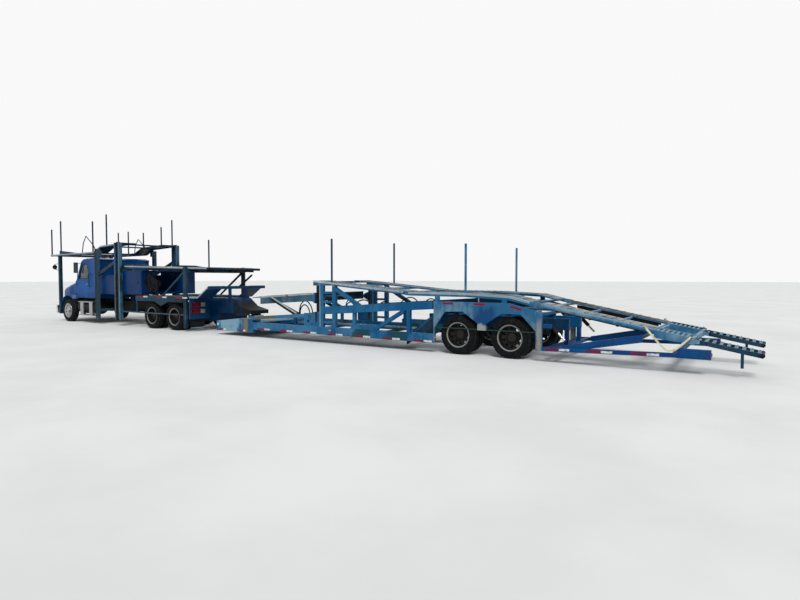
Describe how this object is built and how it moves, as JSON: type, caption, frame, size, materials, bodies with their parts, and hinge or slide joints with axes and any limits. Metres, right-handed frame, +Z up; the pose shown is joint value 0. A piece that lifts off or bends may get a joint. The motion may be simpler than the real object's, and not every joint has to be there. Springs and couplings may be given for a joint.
{
  "type": "stinger-steered car transporter truck and trailer",
  "caption": "Articulated car transporter: conventional truck with a head rack over its cab, hinged to a low trailer with lifting decks, a sloping tail and loading ramps.",
  "frame": {"origin": "centre of the bounding box on the ground, below the trailer's front end", "axes": "-X forward, along the vehicle's length; +Y to the driver's right; +Z up"},
  "size_m": [25.87, 2.56, 4.2799],
  "materials": {
    "cab_blue": "gloss",
    "rack_teal": "greasy satin",
    "trailer_blue": "weathered satin",
    "black_steel": "matt",
    "polished": "polished",
    "rod_steel": "bright",
    "tyre": "matt",
    "glass": "clear",
    "lamp_clear": "clear",
    "lamp_red": "clear",
    "black_plastic": "matt",
    "seat_cloth": "woven",
    "engine_iron": "painted"
  },
  "bodies": {
    "truck": {"cab_glass": "glass", "cab_shell": "cab_blue", "dashboard": "black_plastic", "engine_block": "engine_iron", "front_bumper": "polished", "fuel_tanks": "black_steel", "lockers": "cab_blue", "mudflaps": "black_plastic", "seats": "seat_cloth", "splash_guards": "black_plastic", "steps": "polished", "stinger": "rack_teal", "tail_lamps": "lamp_red", "truck_axles": "black_steel", "truck_frame": "black_steel", "truck_low_deck": "rack_teal", "truck_posts": "rack_teal"},
    "knuckle_left": {"knuckle_left": "black_steel"},
    "knuckle_right": {"knuckle_right": "black_steel"},
    "wheel_front_left": {"wheel_front_left": "tyre"},
    "wheel_front_right": {"wheel_front_right": "tyre"},
    "hood": {"hood": "cab_blue", "grille": "polished", "headlamps": "lamp_clear"},
    "door_left": {"door_left": "cab_blue", "door_glass_left": "glass", "mirror_left": "black_steel"},
    "door_right": {"door_right": "cab_blue", "door_glass_right": "glass", "mirror_right": "black_steel"},
    "head_rack": {"head_rack": "rack_teal"},
    "truck_upper_deck": {"truck_upper_deck": "rack_teal"},
    "trailer": {"trailer_frame": "trailer_blue", "trailer_posts": "trailer_blue", "fender_panels": "trailer_blue", "trailer_axles": "black_steel", "ram_feet": "trailer_blue", "trailer_deck_rear": "trailer_blue", "tail_frame": "trailer_blue", "tail_rams": "rod_steel"},
    "front_arm": {"front_arm": "trailer_blue"},
    "ram_barrels": {"ram_barrels": "black_steel"},
    "ram_rods": {"ram_rods": "rod_steel"},
    "trailer_deck_front": {"trailer_deck_front": "trailer_blue"},
    "tail_deck": {"tail_deck": "trailer_blue"},
    "lift_arms": {"lift_arms": "trailer_blue"},
    "ramp_left": {"ramp_left": "trailer_blue"},
    "ramp_right": {"ramp_right": "trailer_blue"},
    "duals_drive_1_left": {"duals_drive_1_left": "tyre"},
    "duals_drive_1_right": {"duals_drive_1_right": "tyre"},
    "duals_drive_2_left": {"duals_drive_2_left": "tyre"},
    "duals_drive_2_right": {"duals_drive_2_right": "tyre"},
    "duals_trailer_1_left": {"duals_trailer_1_left": "tyre"},
    "duals_trailer_1_right": {"duals_trailer_1_right": "tyre"},
    "duals_trailer_2_left": {"duals_trailer_2_left": "tyre"},
    "duals_trailer_2_right": {"duals_trailer_2_right": "tyre"}
  },
  "joints": [
    {"name": "steer_left", "type": "hinge", "parent": "truck", "child": "knuckle_left", "pos_m": [-11.415, -0.88, 0.465], "axis": [0, 0, 1], "range_deg": [-35, 35]},
    {"name": "roll_front_left", "type": "hinge", "parent": "knuckle_left", "child": "wheel_front_left", "pos_m": [-11.415, -1.093, 0.465], "axis": [0, 1, 0], "continuous": true},
    {"name": "steer_right", "type": "hinge", "parent": "truck", "child": "knuckle_right", "pos_m": [-11.415, 0.88, 0.465], "axis": [0, 0, 1], "range_deg": [-35, 35]},
    {"name": "roll_front_right", "type": "hinge", "parent": "knuckle_right", "child": "wheel_front_right", "pos_m": [-11.415, 1.093, 0.465], "axis": [0, 1, 0], "continuous": true},
    {"name": "roll_drive_1_left", "type": "hinge", "parent": "truck", "child": "duals_drive_1_left", "pos_m": [-5.455, -0.943, 0.465], "axis": [0, 1, 0], "continuous": true},
    {"name": "roll_drive_1_right", "type": "hinge", "parent": "truck", "child": "duals_drive_1_right", "pos_m": [-5.455, 0.943, 0.465], "axis": [0, 1, 0], "continuous": true},
    {"name": "roll_drive_2_left", "type": "hinge", "parent": "truck", "child": "duals_drive_2_left", "pos_m": [-4.135, -0.943, 0.465], "axis": [0, 1, 0], "continuous": true},
    {"name": "roll_drive_2_right", "type": "hinge", "parent": "truck", "child": "duals_drive_2_right", "pos_m": [-4.135, 0.943, 0.465], "axis": [0, 1, 0], "continuous": true},
    {"name": "roll_trailer_1_left", "type": "hinge", "parent": "trailer", "child": "duals_trailer_1_left", "pos_m": [6.885, -0.943, 0.465], "axis": [0, 1, 0], "continuous": true},
    {"name": "roll_trailer_1_right", "type": "hinge", "parent": "trailer", "child": "duals_trailer_1_right", "pos_m": [6.885, 0.943, 0.465], "axis": [0, 1, 0], "continuous": true},
    {"name": "roll_trailer_2_left", "type": "hinge", "parent": "trailer", "child": "duals_trailer_2_left", "pos_m": [8.185, -0.943, 0.465], "axis": [0, 1, 0], "continuous": true},
    {"name": "roll_trailer_2_right", "type": "hinge", "parent": "trailer", "child": "duals_trailer_2_right", "pos_m": [8.185, 0.943, 0.465], "axis": [0, 1, 0], "continuous": true},
    {"name": "articulation", "type": "hinge", "parent": "truck", "child": "trailer", "pos_m": [-1.365, 0, 0.56], "axis": [0, 0, 1], "range_deg": [-55, 55]},
    {"name": "hood_tilt", "type": "hinge", "parent": "truck", "child": "hood", "pos_m": [-12.56, 0, 0.7], "axis": [0, -1, 0], "range_deg": [0, 30]},
    {"name": "door_left_swing", "type": "hinge", "parent": "truck", "child": "door_left", "pos_m": [-10.925, -1.112, 1.7], "axis": [0, 0, -1], "range_deg": [0, 65]},
    {"name": "door_right_swing", "type": "hinge", "parent": "truck", "child": "door_right", "pos_m": [-10.925, 1.112, 1.7], "axis": [0, 0, 1], "range_deg": [0, 65]},
    {"name": "head_rack_tilt", "type": "hinge", "parent": "truck", "child": "head_rack", "pos_m": [-7.5, 0, 3.11], "axis": [0, 1, 0], "range_deg": [0, 8]},
    {"name": "truck_deck_tilt", "type": "hinge", "parent": "truck", "child": "truck_upper_deck", "pos_m": [-7.41, 0, 2.235], "axis": [0, -1, 0], "range_deg": [0, 8]},
    {"name": "front_arm_tilt", "type": "hinge", "parent": "trailer", "child": "front_arm", "pos_m": [2.36, 0, 1.25], "axis": [0, 1, 0], "range_deg": [0, 15]},
    {"name": "ram_swing", "type": "hinge", "parent": "trailer", "child": "ram_barrels", "pos_m": [1.49, 0, 0.77], "axis": [0, 1, 0], "range_deg": [0, 20.92]},
    {"name": "ram_stroke", "type": "slide", "parent": "ram_barrels", "child": "ram_rods", "axis": [-0.933, 0, 0.3599], "range_m": [0, 0.2259]},
    {"name": "trailer_deck_tilt", "type": "hinge", "parent": "trailer", "child": "trailer_deck_front", "pos_m": [5.475, 0, 1.43], "axis": [0, 1, 0], "range_deg": [0, 12]},
    {"name": "tail_deck_tilt", "type": "hinge", "parent": "trailer", "child": "tail_deck", "pos_m": [8.79, 0, 1.225], "axis": [0, -1, 0], "range_deg": [0, 11]},
    {"name": "lift_arm_tilt", "type": "hinge", "parent": "trailer", "child": "lift_arms", "pos_m": [9.39, 0, 0.3], "axis": [0, -1, 0], "range_deg": [0, 14.85]},
    {"name": "ramp_left_tilt", "type": "hinge", "parent": "tail_deck", "child": "ramp_left", "pos_m": [11.905, -0.92, 0.615], "axis": [0, -1, 0], "range_deg": [0, 35]},
    {"name": "ramp_right_tilt", "type": "hinge", "parent": "tail_deck", "child": "ramp_right", "pos_m": [11.905, 0.92, 0.615], "axis": [0, -1, 0], "range_deg": [0, 35]}
  ],
  "couplings": [
    {"joint": "steer_right", "follows": "steer_left", "ratio": 1},
    {"joint": "ram_swing", "follows": "front_arm_tilt", "ratio": 1.3949},
    {"joint": "ram_stroke", "follows": "front_arm_tilt", "m_per_rad": 0.863},
    {"joint": "lift_arm_tilt", "follows": "tail_deck_tilt", "ratio": 1.35}
  ]
}
